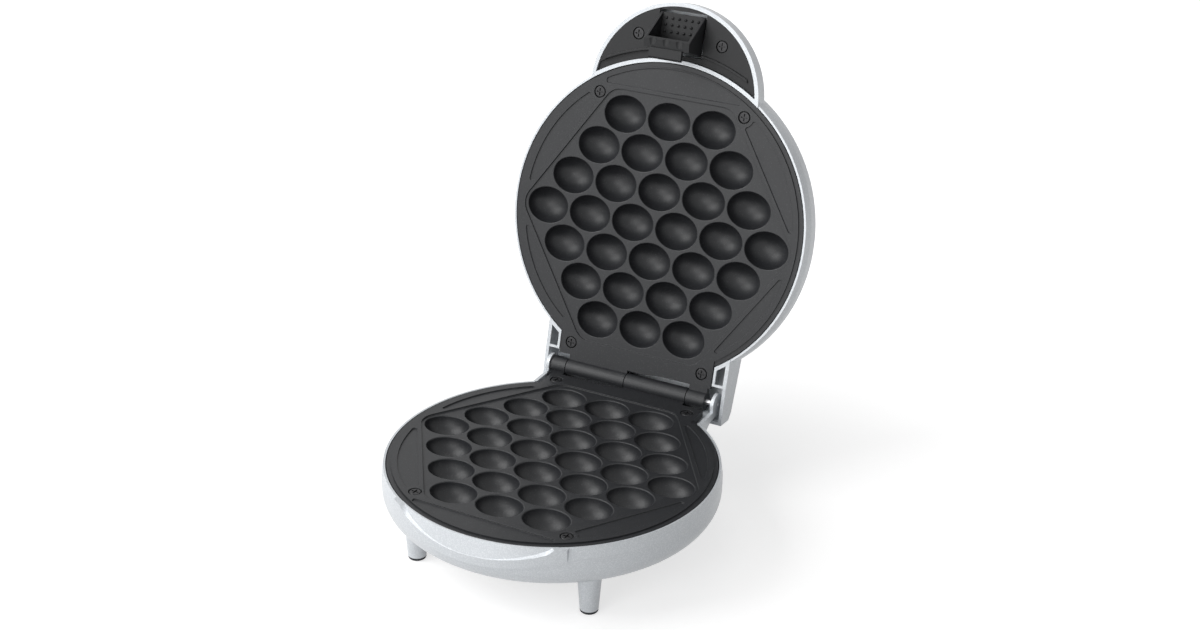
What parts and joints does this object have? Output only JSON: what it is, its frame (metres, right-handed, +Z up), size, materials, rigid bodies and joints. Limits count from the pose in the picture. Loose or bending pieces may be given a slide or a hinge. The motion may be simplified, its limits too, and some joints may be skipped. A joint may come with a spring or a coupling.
{
  "type": "bubble waffle maker",
  "caption": "Countertop bubble waffle maker with round hinged halves, bowl-shaped non-stick baking plates, short legs and a latch handle, shown open",
  "frame": {"origin": "centre of the bottom of the open appliance's bounding box, on the surface that it stands on", "axes": "+Z up, +X to the right along the hinge, +Y from the front with the handle side of the base to the hinge and the open lid"},
  "size_m": [0.206, 0.2858, 0.295],
  "materials": {
    "pearl_housing": "fine pearl silver lacquer over moulded plastic",
    "coated_plate": "black non-stick coating on a die casting, faintly speckled satin",
    "black_plastic": "black moulded plastic, fine grain",
    "rubber": "matt grey rubber",
    "dark_screw": "blackened steel, satin",
    "zinc_steel": "zinc plated",
    "heater_sheath": "heat-dulled tube",
    "ceramic": "unglazed ceramic",
    "shield_sheet": "mill-finish sheet",
    "fuse_can": "plain can",
    "white_nylon": "moulded nylon",
    "red_lens": "clear red moulding",
    "green_lens": "clear green moulding",
    "circuit_board": "green board"
  },
  "bodies": {
    "base": {"base_cover": "black_plastic", "base_cover_screws": "zinc_steel", "base_shell": "pearl_housing", "cord_gland": "rubber", "front_left_foot_tip": "rubber", "front_left_leg": "pearl_housing", "front_right_foot_tip": "rubber", "front_right_leg": "pearl_housing", "hinge_pin": "zinc_steel", "lower_heat_shield": "shield_sheet", "lower_heater": "heater_sheath", "lower_heater_insulators": "ceramic", "lower_plate": "coated_plate", "lower_plate_screws": "dark_screw", "lower_shield_screws": "zinc_steel", "rear_left_foot_tip": "rubber", "rear_left_leg": "pearl_housing", "rear_right_foot_tip": "rubber", "rear_right_leg": "pearl_housing", "terminal_block": "white_nylon", "thermal_fuse": "fuse_can", "thermostat": "ceramic"},
    "lid": {"handle_panel": "black_plastic", "handle_panel_screws": "dark_screw", "lamp_board": "circuit_board", "latch_pin": "zinc_steel", "lid_shell": "pearl_housing", "power_lamp_lens": "red_lens", "ready_lamp_lens": "green_lens", "upper_heat_shield": "shield_sheet", "upper_heater": "heater_sheath", "upper_heater_insulators": "ceramic", "upper_plate": "coated_plate", "upper_plate_screws": "dark_screw", "upper_shield_screws": "zinc_steel"},
    "latch": {"latch_lever": "black_plastic", "latch_spring": "zinc_steel"}
  },
  "joints": [
    {"name": "lid_hinge", "type": "hinge", "parent": "base", "child": "lid", "pos_m": [0, 0.06859, 0.0565], "axis": [1, 0, 0], "range_deg": [0, 104.4]},
    {"name": "latch_hinge", "type": "hinge", "parent": "lid", "child": "latch", "pos_m": [0, 0.1303, 0.28276], "axis": [-1, 0, 0], "range_deg": [0, 8], "stiffness_Nm_per_rad": 0.1}
  ]
}
